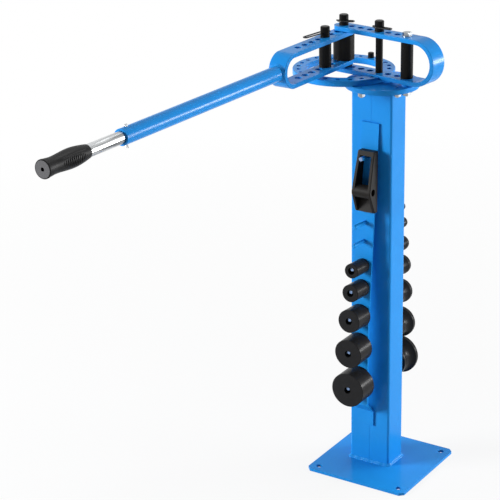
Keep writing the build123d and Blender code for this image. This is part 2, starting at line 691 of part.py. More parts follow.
rear_line = [
    (0, 0),
    (0, STRIP_FOOT_BEND - STRIP_FOOT),
    (REAR_STANDOFF, STRIP_LOWER_BEND - STRIP_FOOT),
    (REAR_STANDOFF, REAR_UPPER_BEND - STRIP_FOOT),
    (0, REAR_TOP_BEND - STRIP_FOOT),
    (0, REAR_TOP - STRIP_FOOT),
]


def peg_plane(strip, line, height):
    """Plane on a strip's outer face at a height: Z square to the strip, Y down it."""
    rise = height - STRIP_FOOT
    for (x0, z0), (x1, z1) in zip(line, line[1:]):
        if z0 <= rise <= z1:
            run = hypot(x1 - x0, z1 - z0)
            normal = ((z1 - z0) / run, (x0 - x1) / run)
            back = x0 + (x1 - x0) * (rise - z0) / (z1 - z0)
            face = (back + STRIP_T * normal[0], rise + STRIP_T * normal[1])
    outward = strip.x_dir * normal[0] + strip.y_dir * normal[1]
    return Plane(origin=strip.from_local_coords(face), x_dir=strip.z_dir, z_dir=outward)


for name, strip, line in (("front_peg_strip", FRONT, front_line), ("rear_peg_strip", REAR, rear_line)):
    with BuildPart() as peg_strip:
        with BuildSketch(strip):
            with BuildLine():
                Polyline(*line)
                offset(amount=STRIP_T, side=Side.RIGHT)
            make_face()
        extrude(amount=STRIP_W / 2, both=True)
    peg_strip.part.label = name
    export_step(peg_strip.part, f"parts/{name}.step")

# Pegs with a chamfered end
die_pegs = [(height, PEG_LENGTH) for _, height in PLAIN_DIES]
bare_pegs = [(height, PEG_LENGTH) for height in BARE_PEG_HEIGHTS]
rear_die_pegs = [(height, PEG_LENGTH) for _, height, _ in GROOVED_DIES]
peg_rows = (
    ("front_pegs", FRONT, front_line, [(BLOCK_PEG_HEIGHT, BLOCK_PEG_LENGTH), *bare_pegs, *die_pegs]),
    ("rear_pegs", REAR, rear_line, rear_die_pegs),
)
for name, strip, line, row in peg_rows:
    with BuildPart() as pegs:
        for height, length in row:
            root = peg_plane(strip, line, height)
            with BuildSketch(root):
                Circle(PEG_D / 2)
            extrude(amount=length - PEG_EDGE)
            with BuildSketch(root.offset(length - PEG_EDGE)):
                Circle(PEG_D / 2)
            extrude(amount=PEG_EDGE, taper=PEG_EDGE_SLOPE)
    pegs.part.label = name
    export_step(pegs.part, f"parts/{name}.step")

# Plain dies on the front pegs, each hanging by the top of its bore
for number, (size, height) in enumerate(PLAIN_DIES, start=1):
    with BuildPart() as plain_die:
        with BuildSketch(peg_plane(FRONT, front_line, height).offset(BACK_GAP)):
            with Locations((0, hang_drop)):
                Circle(size / 2)
                Circle(hole_r, mode=Mode.SUBTRACT)
        extrude(amount=DIE_LENGTH)
        rims = edges().filter_by(GeomType.CIRCLE).filter_by(lambda e: e.radius > hole_r + DIE_EDGE)
        chamfer(rims, length=DIE_EDGE)
    plain_die.part.label = f"plain_die_{number}"
    export_step(plain_die.part, f"parts/plain_die_{number}.step")

# Grooved dies on the rear pegs: a low inner rim, a groove for the pipe, and a stepped outer rim
for number, (size, height, length) in enumerate(GROOVED_DIES, start=1):
    hanger = peg_plane(REAR, rear_line, height)
    middle = hanger.from_local_coords((0, hang_drop, BACK_GAP))
    rim_r = size / 2
    step_r = rim_r - GROOVE_RIM_STEP
    inner_rim_r = rim_r - (rim_r - hole_r) * GROOVE_INNER_WALL_SHARE
    groove_r = rim_r - (rim_r - hole_r) * GROOVE_WALL_SHARE
    groove_to = length - GROOVE_OUTER_RIM
    step_at = length - GROOVE_RIM_STEP_W
    with BuildPart() as grooved_die:
        with BuildSketch(Plane(origin=middle, x_dir=hanger.z_dir, z_dir=hanger.x_dir)):
            with BuildLine():
                Polyline((groove_to, rim_r), (step_at, rim_r), (step_at, step_r), (length, step_r))
                Polyline((length, step_r), (length, hole_r), (0, hole_r))
                Polyline((0, hole_r), (0, inner_rim_r), (GROOVE_INNER_RIM, inner_rim_r))
                deepest = ((GROOVE_INNER_RIM + groove_to) / 2, groove_r)
                ThreePointArc((GROOVE_INNER_RIM, inner_rim_r), deepest, (groove_to, rim_r))
            make_face()
        revolve(axis=Axis(middle, hanger.z_dir))
    grooved_die.part.label = f"grooved_die_{number}"
    export_step(grooved_die.part, f"parts/grooved_die_{number}.step")

# Follow block: side plates, top bar, hollow boss and sloped floor in one casting, hung plumb on its peg
block_peg = peg_plane(FRONT, front_line, BLOCK_PEG_HEIGHT)
block_back = block_peg.origin + Vector(BLOCK_SHIFT, 0, 0)
BLOCK_FACE = Plane(origin=block_back, x_dir=(-1, 0, 0), z_dir=block_peg.z_dir).offset(BACK_GAP)
BLOCK = Plane(origin=BLOCK_FACE.origin, x_dir=BLOCK_FACE.z_dir, z_dir=BLOCK_FACE.x_dir)
window_top = PEG_D / 2 + HANG_GAP
block_top = window_top + BLOCK_TOP_BAR
block_bottom = block_top - BLOCK_HEIGHT
boss_middle = (BLOCK_BOSS_DEPTH, block_top - BLOCK_BOSS_DROP)
block_depth = BLOCK_BOSS_DEPTH + BLOCK_BOSS_R
top_half = BLOCK_TOP_W / 2
bottom_half = BLOCK_BOTTOM_W / 2
with BuildPart() as bending_block:
    with BuildSketch(BLOCK):
        with BuildLine():
            Polyline(
                (BLOCK_TOP_DEPTH, block_top), (0, block_top),
                (0, block_bottom), (BLOCK_BOTTOM_DEPTH, block_bottom),
            )
            CenterArc(boss_middle, BLOCK_BOSS_R, 0, 360)
        make_hull()
    extrude(amount=bottom_half, both=True)
    with BuildSketch(BLOCK_FACE):
        with BuildLine():
            Polyline(
                (-top_half, -block_top),
                (top_half, -block_top),
                (bottom_half, -block_bottom),
                (-bottom_half, -block_bottom),
                close=True,
            )
        make_face()
    extrude(amount=block_depth, mode=Mode.INTERSECT)
    sides = faces().sort_by(Axis((0, 0, 0), BLOCK.z_dir))
    chamfer(sides[0].edges() + sides[-1].edges(), length=BLOCK_EDGE)
    with BuildSketch(BLOCK_FACE):
        with BuildLine():
            Polyline(
                (BLOCK_SIDE_WALL - top_half, -window_top),
                (top_half - BLOCK_SIDE_WALL, -window_top),
                (bottom_half - BLOCK_SIDE_WALL, -block_bottom),
                (BLOCK_SIDE_WALL - bottom_half, -block_bottom),
                close=True,
            )
        make_face()
    extrude(amount=block_depth, mode=Mode.SUBTRACT)
    with BuildSketch(BLOCK):
        with Locations(boss_middle):
            Circle(BLOCK_BOSS_R)
        with BuildLine():
            Polyline((0, boss_middle[1]), (0, block_bottom), (BLOCK_BOTTOM_DEPTH, block_bottom), close=True)
        make_face()
    extrude(amount=bottom_half - BLOCK_SIDE_WALL / 2, both=True)
    with BuildSketch(BLOCK):
        with Locations(boss_middle):
            Circle(hole_r)
    extrude(amount=BLOCK_BOTTOM_W, both=True, mode=Mode.SUBTRACT)
bending_block.part.label = "bending_block"
export_step(bending_block.part, "parts/bending_block.step")
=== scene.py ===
"""Studio dressing of a pedestal pipe bender: finishes for its solids, welds, threads, grip and stage."""

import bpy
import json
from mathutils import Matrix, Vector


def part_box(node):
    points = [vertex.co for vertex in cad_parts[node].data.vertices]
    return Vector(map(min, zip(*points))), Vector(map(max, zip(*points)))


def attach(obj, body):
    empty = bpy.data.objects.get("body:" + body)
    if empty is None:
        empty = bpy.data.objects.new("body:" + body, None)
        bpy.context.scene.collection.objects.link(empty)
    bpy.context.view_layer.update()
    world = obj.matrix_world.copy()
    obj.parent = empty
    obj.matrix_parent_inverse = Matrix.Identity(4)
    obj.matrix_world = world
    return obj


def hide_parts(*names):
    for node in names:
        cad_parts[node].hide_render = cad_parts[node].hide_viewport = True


bl_info = {
    "name": "Pipe Bender Dressing",
    "version": (1, 0, 0),
    "blender": (4, 5, 0),
    "location": "View3D > Sidebar > Bender",
    "description": "Dresses a pedestal pipe bender with its welds, hardware, grip and finishes",
    "category": "Object",
}

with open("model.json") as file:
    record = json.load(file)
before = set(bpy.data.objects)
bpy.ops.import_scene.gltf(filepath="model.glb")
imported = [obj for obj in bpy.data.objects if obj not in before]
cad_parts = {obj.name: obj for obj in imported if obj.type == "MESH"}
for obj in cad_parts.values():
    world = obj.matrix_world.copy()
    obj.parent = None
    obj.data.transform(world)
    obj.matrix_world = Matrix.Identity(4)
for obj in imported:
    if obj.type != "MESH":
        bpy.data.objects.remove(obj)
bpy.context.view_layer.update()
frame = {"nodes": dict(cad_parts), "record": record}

import json
import math

import bpy
from bpy.props import FloatProperty, FloatVectorProperty, IntProperty, PointerProperty, StringProperty
from mathutils import Matrix, Vector, noise

MM = 0.001
UP = Vector((0, 0, 1))

# Points round and along the modelled pieces
BEAD_POINTS = 7
BEAD_STEPS_PER_RIPPLE = 4
CORNER_STEP = 15
SADDLE_POINTS = 120
HEXAGON_POINTS = 72
ROD_POINTS = 32
STEPS_PER_THREAD = 8
GRIP_POINTS = 120
GRIP_STEPS = 300

# Weld beads, as shares of their leg: height of a ripple, root inside the corner, hollow of the face
BEAD_RIPPLE = 0.03
BEAD_ROOT = 0.1
BEAD_HOLLOW = 0.3

# Length of a bead's swells in millimetres, and how far a swell shifts the ripples
BEAD_SWELL_MM = 9
BEAD_DRIFT = 4

# Hexagons: turned face as a share of the flats, slope of its corners, and the share of an unturned face
TURNED_FACE = 0.96
CORNER_SLOPE = math.radians(30)
PLAIN_FACE = 0.999

# The middle of a bolt head closes to this small radius
HEAD_MIDDLE = 0.1 * MM

# Threads: depth as a share of the pitch, and how steep the flanks are
THREAD_DEPTH = 0.54
THREAD_FLANK = 2.6

# Grip: shares of a radius at its mouth, rounded flange, end face and vent floor, and the groove shapes
GRIP_MOUTH = 0.78
FLANGE_ROUND = 0.96
END_FACE = 0.93
END_GREY = 0.92
VENT_TAPER = 0.96
VENT_DEPTH = 4.5 * MM
RIB_SHARPNESS = 1.6
FLUTE_HALF = math.radians(5)
FLUTE_FADE = 6

# Least cosine that a rib's flat floor is worked out with, and the depth that counts as the end face
RIB_COSINE = 0.1
END_DEPTH = 0.2 * MM

# A peg's face is an end where its normal points outward by more than this
END_FACING = 0.6

# Roughness of moulded rubber and of its cut end
RUBBER_ROUGHNESS = 0.45
CUT_ROUGHNESS = 0.6

# Studio: lamps by name, place, panel size and the stage value of their power, and the point they aim at
LAMPS = (
    ("key_lamp", (-2.9, -2.4, 1.5), 1.4, "key"),
    ("side_lamp", (3.3, 1.75, 0.93), 1.8, "side"),
    ("edge_lamp", (2.6, 2.7, 0.75), 0.7, "edge"),
    ("top_lamp", (0.5, 2.2, 7.0), 3.2, "top"),
)
LAMP_AIM = Vector((-0.06, 0.0, 0.55))
SENSOR_WIDTH = 36
CAMERA_REACH = 60
FLOOR_HALF = 14.0

# The floor is this white by the object, and white all over from the far distance on
FLOOR_WHITE = 0.86
FLOOR_NEAR = 0.5
FLOOR_FAR = 2.5


def middle_of(node):
    """Middle of a solid's box."""
    low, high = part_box(node)
    return (low + high) / 2


def heading(degrees):
    """Level direction at an angle from +X."""
    return Vector((math.cos(math.radians(degrees)), math.sin(math.radians(degrees)), 0))


# Places that the solids give: the pivot, the arm's line and the column's middle line
PIVOT = middle_of("centre_die")
ROLLER = middle_of("roller_sleeve")
SLEEVE = middle_of("spacer_sleeve")
ARM = (ROLLER - PIVOT).normalized()
HEAD = ((SLEEVE - PIVOT) * Vector((1, 1, 0))).normalized()
COLUMN_LOW, COLUMN_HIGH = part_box("column")
COLUMN_MIDDLE = (COLUMN_LOW + COLUMN_HIGH) / 2


class BenderColours(bpy.types.PropertyGroup):
    """Colours of the finishes, as sRGB hex values."""

    enamel: StringProperty(name="Enamel", description="Blue of the painted steel", default="#218CDA")
    enamel_thin: StringProperty(
        name="Thin enamel", description="Blue where the coat is thinner", default="#1B80CD"
    )
    # The next two colours paint the highlight on the peg ends, drawn as enamel rubbed thin to steel
    end_highlight_blue: StringProperty(
        name="Rubbed enamel", description="Film of blue left on a rubbed end", default="#6287BE"
    )
    end_highlight_grey: StringProperty(
        name="Bare steel", description="Steel that comes through a rubbed end", default="#8797AB"
    )
    oxide: StringProperty(name="Black oxide", description="Black of the turned pins", default="#141415")
    oxide_worn: StringProperty(
        name="Rubbed oxide", description="Brown black where oil lies thin", default="#1C1B19"
    )
    die: StringProperty(name="Die", description="Black of the turned dies", default="#202021")
    die_worn: StringProperty(
        name="Rubbed die", description="Grey black where a die is rubbed", default="#272728"
    )
    casting: StringProperty(name="Casting", description="Black brown of the cast block", default="#121110")
    casting_dust: StringProperty(
        name="Casting dust", description="Brown of the sand skin on the casting", default="#1A1613"
    )
    zinc: StringProperty(name="Zinc", description="Bright plated steel", default="#B4B7B9")
    zinc_dull: StringProperty(name="Dull zinc", description="Clouded plated steel", default="#7E8285")
    # The tube's two colours paint bright and dark lengthwise streaks: painted reflection over faint die marks
    tube: StringProperty(name="Tube", description="Bright lines of the drawn tube", default="#D3D5D6")
    tube_dark_streak: StringProperty(
        name="Tube dark streak", description="Dull lines of the drawn tube", default="#5E6163"
    )
    rubber: StringProperty(name="Rubber", description="Black of the moulded grip", default="#0F0F10")
    rubber_end: StringProperty(
        name="Grip end", description="Grey of the cut end of the grip", default="#5C5C5E"
    )
    floor: StringProperty(name="Floor", description="Pale studio floor", default="#D2D3D4")


class BenderWelds(bpy.types.PropertyGroup):
    """Sizes of the weld beads."""

    foot_leg: FloatProperty(
        name="Foot leg",
        description="Leg of the bead round the column's foot",
        default=5.2 * MM,
        unit="LENGTH",
    )
    rim_leg: FloatProperty(
        name="Rim leg", description="Leg of the bead under the round flange", default=5 * MM, unit="LENGTH"
    )
    handle_leg: FloatProperty(
        name="Handle leg", description="Leg of the bead round the handle", default=3.6 * MM, unit="LENGTH"
    )
    ripple: FloatProperty(
        name="Ripple", description="Distance between the ripples of a bead", default=5.5 * MM, unit="LENGTH"
    )
    lump: FloatProperty(
        name="Lump",
        description="How far a bead swells and thins, as a share",
        default=0.25,
        subtype="FACTOR",
    )
    column_corner: FloatProperty(
        name="Column corner", description="Corner radius of the column", default=5 * MM, unit="LENGTH"
    )


class BenderHardware(bpy.types.PropertyGroup):
    """Sizes of the bolts, screws and nuts."""

    screw: FloatProperty(
        name="Screw", description="Diameter of the plate screws", default=8 * MM, unit="LENGTH"
    )
    screw_flats: FloatProperty(
        name="Screw nut flats",
        description="Width across flats of the plate screws' nuts",
        default=13 * MM,
        unit="LENGTH",
    )
    flats: FloatProperty(name="Flats", description="Width across flats", default=17 * MM, unit="LENGTH")
    thread: FloatProperty(name="Thread", description="Thread diameter", default=10 * MM, unit="LENGTH")
    pitch: FloatProperty(name="Pitch", description="Thread pitch", default=1.5 * MM, unit="LENGTH")
    thread_length: FloatProperty(
        name="Thread length", description="Threaded length of the bolts", default=26 * MM, unit="LENGTH"
    )
    head: FloatProperty(name="Head", description="Height of a bolt head", default=6.4 * MM, unit="LENGTH")
    circle: FloatProperty(
        name="Bolt circle", description="Radius of the plate bolts' circle", default=68 * MM, unit="LENGTH"
    )
    angles: FloatVectorProperty(
        name="Bolt angles",
        description="Plate bolts' angles from the fixed frame's line, in degrees",
        size=4,
        default=(-85, -20, 20, 85),
    )


class BenderGrip(bpy.types.PropertyGroup):
    """Sizes of the rubber grip."""

    neck: FloatProperty(
        name="Neck", description="Radius at the inner end", default=13.2 * MM, unit="LENGTH"
    )
    bulge: FloatProperty(
        name="Bulge", description="Radius of the palm swell", default=18.2 * MM, unit="LENGTH"
    )
    bulge_at: FloatProperty(
        name="Bulge place", description="Palm swell from the inner end", default=44 * MM, unit="LENGTH"
    )
    waist: FloatProperty(
        name="Waist", description="Radius before the flange", default=15.7 * MM, unit="LENGTH"
    )
    waist_at: FloatProperty(
        name="Waist place", description="Waist from the inner end", default=90 * MM, unit="LENGTH"
    )
    flange: FloatProperty(
        name="Flange", description="Radius of the end flange", default=17.7 * MM, unit="LENGTH"
    )
    flange_width: FloatProperty(
        name="Flange width", description="Width of the end flange", default=6 * MM, unit="LENGTH"
    )
    vent: FloatProperty(
        name="Vent", description="Radius of the hole in the end", default=3.7 * MM, unit="LENGTH"
    )
    ribs: IntProperty(name="Ribs", description="Number of grooves down a side", default=14)
    rib_pitch: FloatProperty(
        name="Rib pitch", description="Distance between the grooves", default=5 * MM, unit="LENGTH"
    )
    rib_floor: FloatProperty(
        name="Rib floor",
        description="Grooves' floor from the grip's axis",
        default=15.4 * MM,
        unit="LENGTH",
    )
    flute_depth: FloatProperty(
        name="Flute depth", description="Depth of the lengthwise groove", default=0.8 * MM, unit="LENGTH"
    )
    flute_rise: FloatProperty(
        name="Flute rise",
        description="Lengthwise groove's angle above the level",
        default=math.radians(40),
        subtype="ANGLE",
    )


class BenderStage(bpy.types.PropertyGroup):
    """Camera and light of the studio."""

    lens: FloatProperty(name="Lens", description="Focal length on a 36 mm sensor", default=129.69)
    azimuth: FloatProperty(
        name="Azimuth", description="Camera's turn from the front, in degrees", default=33.26
    )
    pitch: FloatProperty(name="Pitch", description="Camera's look down, in degrees", default=21.15)
    roll: FloatProperty(name="Roll", description="Camera's roll, in degrees", default=-1.13)
    distance: FloatProperty(
        name="Distance", description="Camera to target", default=3.83062, unit="LENGTH"
    )
    target: FloatVectorProperty(
        name="Target", description="Point in the middle of the frame", default=(-0.2352, -0.1543, 0.51)
    )
    key: FloatProperty(name="Key", description="Power of the lamp at the left", default=198.0, unit="POWER")
    side: FloatProperty(
        name="Side", description="Power of the lamp behind the right", default=102.0, unit="POWER"
    )
    edge: FloatProperty(
        name="Edge", description="Power of the small lamp at the back", default=75.0, unit="POWER"
    )
    top: FloatProperty(name="Top", description="Power of the lamp overhead", default=230.0, unit="POWER")
    sky: FloatProperty(name="Sky", description="Strength of the soft light all round", default=0.1)


def linear(hex_colour):
    """Linear RGBA of an sRGB hex colour."""
    shares = [int(hex_colour[i:i + 2], 16) / 255 for i in (1, 3, 5)]
    return [s / 12.92 if s <= 0.04045 else ((s + 0.055) / 1.055) ** 2.4 for s in shares] + [1]


def per(millimetres):
    """Texture scale whose features are this many millimetres apart."""
    return 1 / (millimetres * MM)


def add_node(tree, kind, settings=None, inputs=None):
    """Node of a kind, with its settings made and its inputs set or linked."""
    node = tree.nodes.new(kind)
    for name, value in (settings or {}).items():
        setattr(node, name, value)
    for socket, value in (inputs or {}).items():
        if isinstance(value, bpy.types.NodeSocket):
            tree.links.new(value, node.inputs[socket])
        else:
            node.inputs[socket].default_value = value
    return node


def new_material(name):
    """Empty node material, its tree and the object coordinates that its patterns use."""
    material = bpy.data.materials.new(name)
    material.use_nodes = True
    tree = material.node_tree
    tree.nodes.clear()
    place = add_node(tree, "ShaderNodeTexCoord").outputs["Object"]
    return material, tree, place


def blue_enamel():
    """Sprayed and baked enamel on steel."""
    colours = bpy.context.scene.bender_colours
    material, tree, place = new_material("baked_enamel_blue")
    # A thick sprayed coat: even blue that drifts a little in depth, and a soft gloss that ripples like peel
    cloud = add_node(tree, "ShaderNodeTexNoise", inputs={"Vector": place, "Scale": per(70), "Detail": 3})
    coat = add_node(
        tree, "ShaderNodeMix", {"data_type": "RGBA"},
        {0: cloud.outputs["Fac"], 6: linear(colours.enamel), 7: linear(colours.enamel_thin)},
    )
    # Real peel of 1.5 mm is too fine for the frame, so a 6 mm ripple three times as high lies under it
    peel = add_node(tree, "ShaderNodeTexNoise", inputs={"Vector": place, "Scale": per(1.5), "Detail": 1})
    wave = add_node(tree, "ShaderNodeTexNoise", inputs={"Vector": place, "Scale": per(6), "Detail": 1})
    both = add_node(
        tree, "ShaderNodeMath", {"operation": "MULTIPLY_ADD"},
        {0: wave.outputs["Fac"], 1: 3.0, 2: peel.outputs["Fac"]},
    )
    bump = add_node(
        tree, "ShaderNodeBump",
        inputs={"Strength": 0.03, "Distance": 0.1 * MM, "Height": both.outputs["Value"]},
    )
    gloss = add_node(
        tree, "ShaderNodeMapRange",
        inputs={"Value": cloud.outputs["Fac"], "To Min": 0.2, "To Max": 0.26},
    )
    shader = add_node(tree, "ShaderNodeBsdfPrincipled", inputs={
        "Base Color": coat.outputs[2],
        "Roughness": gloss.outputs["Result"],
        "Normal": bump.outputs["Normal"],
        "IOR": 1.42,
        "Specular IOR Level": 0.12,
    })
    add_node(tree, "ShaderNodeOutputMaterial", inputs={"Surface": shader.outputs["BSDF"]})
    return material


def peg_end_highlight():
    """Paler enamel on the peg ends: a painted highlight, drawn as enamel rubbed thin to steel."""
    colours = bpy.context.scene.bender_colours
    material, tree, place = new_material("enamel_rubbed_to_steel")
    # Painted highlight: pale blue mixed in patches with dull grey, standing in for the glint on the peg ends
    patch = add_node(tree, "ShaderNodeTexNoise", inputs={"Vector": place, "Scale": per(4), "Detail": 3})
    glint = add_node(
        tree, "ShaderNodeMix", {"data_type": "RGBA"},
        {0: patch.outputs["Fac"], 6: linear(colours.end_highlight_blue), 7: linear(colours.end_highlight_grey)},
    )
    gloss = add_node(
        tree, "ShaderNodeMapRange",
        inputs={"Value": patch.outputs["Fac"], "To Min": 0.35, "To Max": 0.5},
    )
    shader = add_node(tree, "ShaderNodeBsdfPrincipled", inputs={
        "Base Color": glint.outputs[2],
        "Roughness": gloss.outputs["Result"],
        "Specular IOR Level": 0.3,
    })
    add_node(tree, "ShaderNodeOutputMaterial", inputs={"Surface": shader.outputs["BSDF"]})
    return material


def turned_oxide(name, direction, black, worn):
    """Turned steel, blacked in hot oxide and oiled; the tool marks lie across a direction."""
    material, tree, place = new_material(name)
    # A thin black skin on turned steel: near black, with a soft oily sheen broken by the tool marks
    cloud = add_node(tree, "ShaderNodeTexNoise", inputs={"Vector": place, "Scale": per(14), "Detail": 4})
    oxide = add_node(
        tree, "ShaderNodeMix", {"data_type": "RGBA"},
        {0: cloud.outputs["Fac"], 6: linear(black), 7: linear(worn)},
    )
    # The feed marks are about 0.3 mm apart and too fine for the frame, so they are drawn at 1.6 mm
    marks = add_node(
        tree, "ShaderNodeTexWave", {"bands_direction": direction, "wave_profile": "SAW"},
        {"Vector": place, "Scale": per(1.6) / (2 * math.pi), "Distortion": 1.2, "Detail": 2},
    )
    bump = add_node(
        tree, "ShaderNodeBump",
        inputs={"Strength": 0.2, "Distance": 0.05 * MM, "Height": marks.outputs["Fac"]},
    )
    gloss = add_node(
        tree, "ShaderNodeMapRange",
        inputs={"Value": cloud.outputs["Fac"], "To Min": 0.22, "To Max": 0.3},
    )
    shader = add_node(tree, "ShaderNodeBsdfPrincipled", inputs={
        "Base Color": oxide.outputs[2],
        "Specular IOR Level": 0.05,
        "Roughness": gloss.outputs["Result"],
        "Normal": bump.outputs["Normal"],
    })
    add_node(tree, "ShaderNodeOutputMaterial", inputs={"Surface": shader.outputs["BSDF"]})
    return material


def cast_block():
    """Sand-cast iron under a thin black wash."""
    colours = bpy.context.scene.bender_colours
    material, tree, place = new_material("cast_iron_black_wash")
    # A sand mould leaves a grainy matt skin, clouded with brown dust
    # The sand's grain of about 0.4 mm is too fine for the frame, so it is drawn at 2.2 mm
    grain = add_node(tree, "ShaderNodeTexNoise", inputs={"Vector": place, "Scale": per(2.2), "Detail": 5})
    cloud = add_node(tree, "ShaderNodeTexNoise", inputs={"Vector": place, "Scale": per(24), "Detail": 3})
    wash = add_node(
        tree, "ShaderNodeMix", {"data_type": "RGBA"},
        {0: cloud.outputs["Fac"], 6: linear(colours.casting), 7: linear(colours.casting_dust)},
    )
    bump = add_node(
        tree, "ShaderNodeBump",
        inputs={"Strength": 0.45, "Distance": 0.3 * MM, "Height": grain.outputs["Fac"]},
    )
    shader = add_node(tree, "ShaderNodeBsdfPrincipled", inputs={
        "Base Color": wash.outputs[2],
        "Specular IOR Level": 0.15,
        "Roughness": 0.5,
        "Normal": bump.outputs["Normal"],
    })
    add_node(tree, "ShaderNodeOutputMaterial", inputs={"Surface": shader.outputs["BSDF"]})
    return material


def bright_zinc():
    """Bright zinc plate on drawn steel."""
    colours = bpy.context.scene.bender_colours
    material, tree, place = new_material("zinc_plate_bright")
    # A thin bright plate: silver with a clouded bloom, over the fine grain of the steel
    cloud = add_node(tree, "ShaderNodeTexNoise", inputs={"Vector": place, "Scale": per(9), "Detail": 4})
    plate = add_node(
        tree, "ShaderNodeMix", {"data_type": "RGBA"},
        {0: cloud.outputs["Fac"], 6: linear(colours.zinc), 7: linear(colours.zinc_dull)},
    )
    gloss = add_node(
        tree, "ShaderNodeMapRange",
        inputs={"Value": cloud.outputs["Fac"], "To Min": 0.18, "To Max": 0.34},
    )
    # The steel's grain of about 0.2 mm is too fine for the frame, so it is drawn at 1.2 mm
    fine = add_node(tree, "ShaderNodeTexNoise", inputs={"Vector": place, "Scale": per(1.2), "Detail": 2})
    bump = add_node(
        tree, "ShaderNodeBump",
        inputs={"Strength": 0.15, "Distance": 0.04 * MM, "Height": fine.outputs["Fac"]},
    )
    shader = add_node(tree, "ShaderNodeBsdfPrincipled", inputs={
        "Base Color": plate.outputs[2],
        "Metallic": 1.0,
        "Roughness": gloss.outputs["Result"],
        "Normal": bump.outputs["Normal"],
    })
    add_node(tree, "ShaderNodeOutputMaterial", inputs={"Surface": shader.outputs["BSDF"]})
    return material


def drawn_tube():
    """Zinc plate on a drawn steel tube."""
    colours = bpy.context.scene.bender_colours
    material, tree, place = new_material("zinc_plate_drawn_tube")
    # Bright and dull streaks along the tube: painted reflection over the die's faint marks; the plate is a
    # soft mirror
    # The die's marks are under 1 mm apart and too fine for the frame, so the streaks are drawn at 5 mm
    stretched = add_node(
        tree, "ShaderNodeMapping", inputs={"Vector": place, "Scale": (per(5), per(160), per(5))}
    )
    streaks = add_node(
        tree, "ShaderNodeTexNoise",
        inputs={"Vector": stretched.outputs["Vector"], "Scale": 1.0, "Detail": 3},
    )
    steep = add_node(
        tree, "ShaderNodeMapRange",
        inputs={"Value": streaks.outputs["Fac"], "From Min": 0.36, "From Max": 0.62},
    )
    plate = add_node(
        tree, "ShaderNodeMix", {"data_type": "RGBA"},
        {0: steep.outputs["Result"], 6: linear(colours.tube_dark_streak), 7: linear(colours.tube)},
    )
    shader = add_node(
        tree, "ShaderNodeBsdfPrincipled",
        inputs={"Base Color": plate.outputs[2], "Metallic": 1.0, "Roughness": 0.22},
    )
    add_node(tree, "ShaderNodeOutputMaterial", inputs={"Surface": shader.outputs["BSDF"]})
    return material


def spring_wire():
    """Oil-tempered spring wire with a black scale."""
    colours = bpy.context.scene.bender_colours
    material, tree, place = new_material("spring_wire_black")
    # Tempering leaves a smooth dark scale with a dull oily shine
    cloud = add_node(tree, "ShaderNodeTexNoise", inputs={"Vector": place, "Scale": per(5), "Detail": 3})
    scale = add_node(
        tree, "ShaderNodeMix", {"data_type": "RGBA"},
        {0: cloud.outputs["Fac"], 6: linear(colours.oxide), 7: linear(colours.oxide_worn)},
    )
    shader = add_node(
        tree, "ShaderNodeBsdfPrincipled",
        inputs={"Base Color": scale.outputs[2], "Specular IOR Level": 0.3, "Roughness": 0.36},
    )
    add_node(tree, "ShaderNodeOutputMaterial", inputs={"Surface": shader.outputs["BSDF"]})
    return material


def moulded_rubber(name, hex_colour, roughness):
    """Rubber from a steel mould."""
    material, tree, place = new_material(name)
    # A polished mould gives a satin skin, broken by a fine pebble
    # The pebble of about 0.3 mm is too fine for the frame, so it is drawn at 1.5 mm
    pebble = add_node(tree, "ShaderNodeTexNoise", inputs={"Vector": place, "Scale": per(1.5), "Detail": 2})
    bump = add_node(
        tree, "ShaderNodeBump",
        inputs={"Strength": 0.2, "Distance": 0.08 * MM, "Height": pebble.outputs["Fac"]},
    )
    gloss = add_node(
        tree, "ShaderNodeMapRange",
        inputs={"Value": pebble.outputs["Fac"], "To Min": roughness - 0.05, "To Max": roughness + 0.05},
    )
    shader = add_node(tree, "ShaderNodeBsdfPrincipled", inputs={
        "Base Color": linear(hex_colour),
        "Roughness": gloss.outputs["Result"],
        "Normal": bump.outputs["Normal"],
        "Specular IOR Level": 0.12,
    })
    add_node(tree, "ShaderNodeOutputMaterial", inputs={"Surface": shader.outputs["BSDF"]})
    return material


def finish_named(name, maker, *words):
    """Material by its name, made on first use."""
    return bpy.data.materials.get(name) or maker(*words)


def enamel():
    """Blue enamel of the painted steel."""
    return finish_named("baked_enamel_blue", blue_enamel)


def zinc():
    """Zinc plate of the hardware."""
    return finish_named("zinc_plate_bright", bright_zinc)


def rubber():
    """Black rubber of the grip."""
    name = "moulded_rubber_black"
    colour = bpy.context.scene.bender_colours.rubber
    return finish_named(name, moulded_rubber, name, colour, RUBBER_ROUGHNESS)


def skin(name, rings, loop=False):
    """Mesh over a row of closed rings of points, capped, or with the last ring joined to the first."""
    size = len(rings[0])
    points = [p for ring in rings for p in ring]
    steps = len(rings) if loop else len(rings) - 1
    faces = []
    for i in range(steps):
        near, far = i * size, (i + 1) % len(rings) * size
        faces += [(near + j, near + (j + 1) % size, far + (j + 1) % size, far + j) for j in range(size)]
    if not loop:
        faces.append(tuple(reversed(range(size))))
        faces.append(tuple(range((len(rings) - 1) * size, len(rings) * size)))
    mesh = bpy.data.meshes.new(name)
    mesh.from_pydata(points, [], faces)
    mesh.validate()
    mesh.update()
    return mesh


def merge(name, meshes):
    """One mesh from several."""
    points, faces = [], []
    for mesh in meshes:
        first = len(points)
        points += [v.co.copy() for v in mesh.vertices]
        faces += [tuple(first + i for i in p.vertices) for p in mesh.polygons]
        bpy.data.meshes.remove(mesh)
    merged = bpy.data.meshes.new(name)
    merged.from_pydata(points, [], faces)
    merged.update()
    return merged


def add_piece(mesh, materials, body, slot, *nodes, sharp=35):
    """Object for a finished mesh, smooth up to an angle, that rides on a body and may stand for solids."""
    for material in materials:
        mesh.materials.append(material)
    mesh.shade_smooth()
    mesh.set_sharp_from_angle(angle=math.radians(sharp))
    piece = bpy.data.objects.new(mesh.name, mesh)
    bpy.context.scene.collection.objects.link(piece)
    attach(piece, body)
    if nodes:
        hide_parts(*nodes)
    return piece


